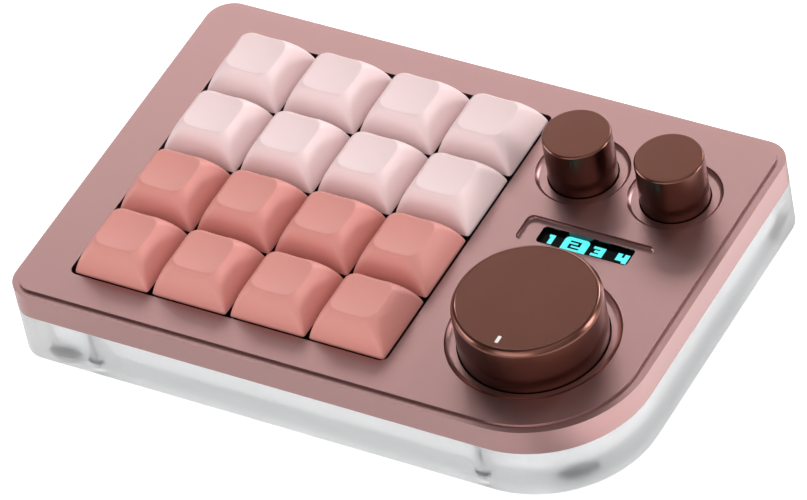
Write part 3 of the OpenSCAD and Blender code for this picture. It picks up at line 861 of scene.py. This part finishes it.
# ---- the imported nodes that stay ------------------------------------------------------

def finish_nodes():
    coats = {
        "switch_plate": DARK_PLATE, "switch_covers": DARK_COVERS, "switch_housings": BLACK_PLASTIC,
        "switch_contacts": GOLD, "hot_swap_sockets": BLACK_PLASTIC, "circuit_board": BOARD,
        "encoder_bodies": BLACK_PLASTIC, "encoder_shells": STEEL, "screen_glass": SCREEN_BLACK,
        "screen_board": BOARD, "screen_header": BLACK_PLASTIC, "usb_socket": STEEL,
        "controller_chip": BLACK_PLASTIC, "case_screws": STEEL, "rubber_feet": RUBBER,
    }
    for side in KNOBS:
        coats[f"push_plunger_{side}"] = IVORY
        coats[f"encoder_shaft_{side}"] = STEEL
    for row, col in KEYS:
        coats[f"switch_stem_r{row}c{col}"] = STEM_RED
    for node, material in coats.items():
        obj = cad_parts[node]
        for slot in obj.material_slots:
            slot.material = material
        if not obj.material_slots:
            obj.data.materials.append(material)


finish_nodes()


# ---- floor, light and camera ---------------------------------------------------------

def shadow_band(tree):
    """A mask for the floor's glow: a painted shadow in a dark band under the base's right side, which keeps
    that side from glowing.
    """
    middle, inner, outer, dimmest = 0.068, 0.004, 0.014, 0.2
    place = add_node(tree, "TexCoord")
    split = add_node(tree, "SeparateXYZ")
    tree.links.new(place.outputs["Object"], split.inputs[0])
    away = add_node(tree, "Math", {1: middle}, operation="SUBTRACT")
    tree.links.new(split.outputs["X"], away.inputs[0])
    aside = add_node(tree, "Math", operation="ABSOLUTE")
    tree.links.new(away.outputs[0], aside.inputs[0])
    levels = {"From Min": inner, "From Max": outer, "To Min": dimmest, "To Max": 1.0}
    band = add_node(tree, "MapRange", levels, interpolation_type="SMOOTHSTEP")
    tree.links.new(aside.outputs[0], band.inputs["Value"])
    return band.outputs["Result"]


def make_floor():
    """A white floor that keeps the keypad's shadow, and that metal and the clear base show as well."""
    deselect()
    bpy.ops.mesh.primitive_plane_add(size=6, location=(0, 0, 0))
    floor = bpy.context.object
    floor.name = "Floor"
    material, tree, shader = new_material("White floor")
    set_inputs(shader, {"Base Color": (0.7, 0.7, 0.7, 1), "Roughness": 0.9, "Specular IOR Level": 0.1,
                        "Emission Color": WHITE})
    ray = add_node(tree, "LightPath").outputs
    seen_through = add_node(tree, "Math", {1: 0.25}, operation="MULTIPLY")
    mirrored = add_node(tree, "Math", {1: 0.45}, operation="MULTIPLY_ADD")
    banded = add_node(tree, "Math", operation="MULTIPLY")
    in_view = add_node(tree, "Math", {1: 0.75}, operation="MULTIPLY_ADD")
    tree.links.new(ray["Is Transmission Ray"], seen_through.inputs[0])
    tree.links.new(ray["Is Glossy Ray"], mirrored.inputs[0])
    tree.links.new(seen_through.outputs[0], mirrored.inputs[2])
    tree.links.new(mirrored.outputs[0], banded.inputs[0])
    tree.links.new(shadow_band(tree), banded.inputs[1])
    tree.links.new(ray["Is Camera Ray"], in_view.inputs[0])
    tree.links.new(banded.outputs[0], in_view.inputs[2])
    tree.links.new(in_view.outputs[0], shader.inputs["Emission Strength"])
    floor.data.materials.append(material)


def toward(azimuth, elevation, distance=1.0):
    """A place at an azimuth, 0 in front and 90 to the right, and an elevation, both in degrees."""
    a, e = math.radians(azimuth), math.radians(elevation)
    return Vector((math.sin(a) * math.cos(e), -math.cos(a) * math.cos(e), math.sin(e))) * distance


# Soft fields in the dome: azimuth, elevation, spread and strength
FIELDS = [(60, 58, 30, 0.4), (120, 58, 30, 0.25), (240, 58, 30, 0.2), (20, 30, 26, 0.5), (65, 30, 26, 0.45),
          (158, 30, 26, 0.2)]


def make_dome():
    """A dim dome with soft fields of light, plain white behind the keypad and pale through its clear base.

    A field is full within half its spread, and fades out at one and a quarter of it.
    """
    dimmest = 0.1
    world = bpy.data.worlds.new("Studio")
    bpy.context.scene.world = world
    world.use_nodes = True
    tree = world.node_tree
    sky = tree.nodes["Background"]
    sky.inputs["Color"].default_value = WHITE
    place = add_node(tree, "TexCoord")
    total = None
    for azimuth, elevation, spread, strength in FIELDS:
        turn = add_node(tree, "VectorMath", {1: toward(azimuth, elevation)}, operation="DOT_PRODUCT")
        tree.links.new(place.outputs["Generated"], turn.inputs[0])
        edge, core = math.cos(math.radians(spread * 1.25)), math.cos(math.radians(spread * 0.5))
        field = add_node(tree, "MapRange", {"From Min": edge, "From Max": core, "To Max": strength},
                         interpolation_type="SMOOTHSTEP")
        tree.links.new(turn.outputs["Value"], field.inputs["Value"])
        lifted = add_node(tree, "Math", {0: dimmest}, operation="ADD")
        if total:
            tree.links.new(total, lifted.inputs[0])
        tree.links.new(field.outputs["Result"], lifted.inputs[1])
        total = lifted.outputs[0]
    path = add_node(tree, "LightPath")
    for ray, strength in (("Is Transmission Ray", 0.82), ("Is Camera Ray", 1.0)):
        level = add_node(tree, "Mix", {"B": strength})
        tree.links.new(path.outputs[ray], level.inputs["Factor"])
        tree.links.new(total, level.inputs["A"])
        total = level.outputs["Result"]
    tree.links.new(total, sky.inputs["Strength"])


def hang_lamp(name, place, width, height, radiance, aim=(0, 0, 20 * MM), shape="RECTANGLE"):
    """A panel of light of an even radiance, turned to aim and hidden from the camera."""
    lamp = bpy.data.lights.new(name, "AREA")
    lamp.shape = shape
    lamp.size, lamp.size_y = width, height
    area = width * height * (math.pi / 4 if shape == "DISK" else 1)
    lamp.energy = radiance * math.pi * area
    obj = bpy.data.objects.new(name, lamp)
    bpy.context.collection.objects.link(obj)
    obj.location = place
    obj.rotation_euler = (Vector(aim) - Vector(place)).to_track_quat("-Z", "Y").to_euler()
    obj.visible_camera = False
    return obj


def hang_lamps():
    """A key lamp at the back left, soft fill from the front, and strips that draw the knobs and the base."""
    hang_lamp("Key lamp", toward(205, 29, 6.0), 2.4, 1.2, 8.5)
    hang_lamp("Left lamp", toward(225, 35, 2.2), 0.7, 0.7, 2.0, shape="DISK")
    fill = hang_lamp("Soft fill", toward(4, 52, 2.4), 1.8, 1.8, 1.28)
    fill.visible_glossy = False
    hang_lamp("Low front strip", toward(5, 15, 2.0), 1.7, 0.8, 3.1)
    hang_lamp("Low left strip", toward(290, 12, 2.0), 1.2, 0.4, 7.5)
    side_fill = hang_lamp("Low side fill", toward(88, 9, 2.0), 0.8, 0.35, 7.0)
    side_fill.visible_glossy = False
    hang_lamp("Low right strip", toward(118, 13, 2.0), 0.6, 0.5, 13.0)
    hang_lamp("Back strip", toward(167, 25, 2.2), 0.45, 1.0, 14.0)
    floor_panel = hang_lamp("Right floor panel", (0.125, 0.02, 0.001), 0.1, 0.2, 0.7, aim=(0.125, 0.02, 0.1))
    floor_panel.visible_transmission = False


def make_camera():
    """A long lens from the front right, with the picture turned a little to the left."""
    roll, distance = math.radians(-11.900), 1441.8 * MM
    target = Vector((5.834, -8.183, 20.8)) * MM
    back = toward(36.565, 44.088)
    across = (-back).cross(Vector((0, 0, 1))).normalized()
    up = across.cross(-back)
    right = across * math.cos(roll) + up * math.sin(roll)
    above = up * math.cos(roll) - across * math.sin(roll)
    lens = bpy.data.cameras.new("Camera")
    lens.lens = 306.2
    lens.sensor_width = 36
    lens.clip_start, lens.clip_end = 0.05, 20
    camera = bpy.data.objects.new("Camera", lens)
    bpy.context.collection.objects.link(camera)
    turn = Matrix((right, above, back)).transposed().to_4x4()
    camera.matrix_world = Matrix.Translation(target + back * distance) @ turn
    bpy.context.scene.camera = camera


make_floor()
make_dome()
hang_lamps()
make_camera()
bpy.context.scene.view_settings.view_transform = "Standard"
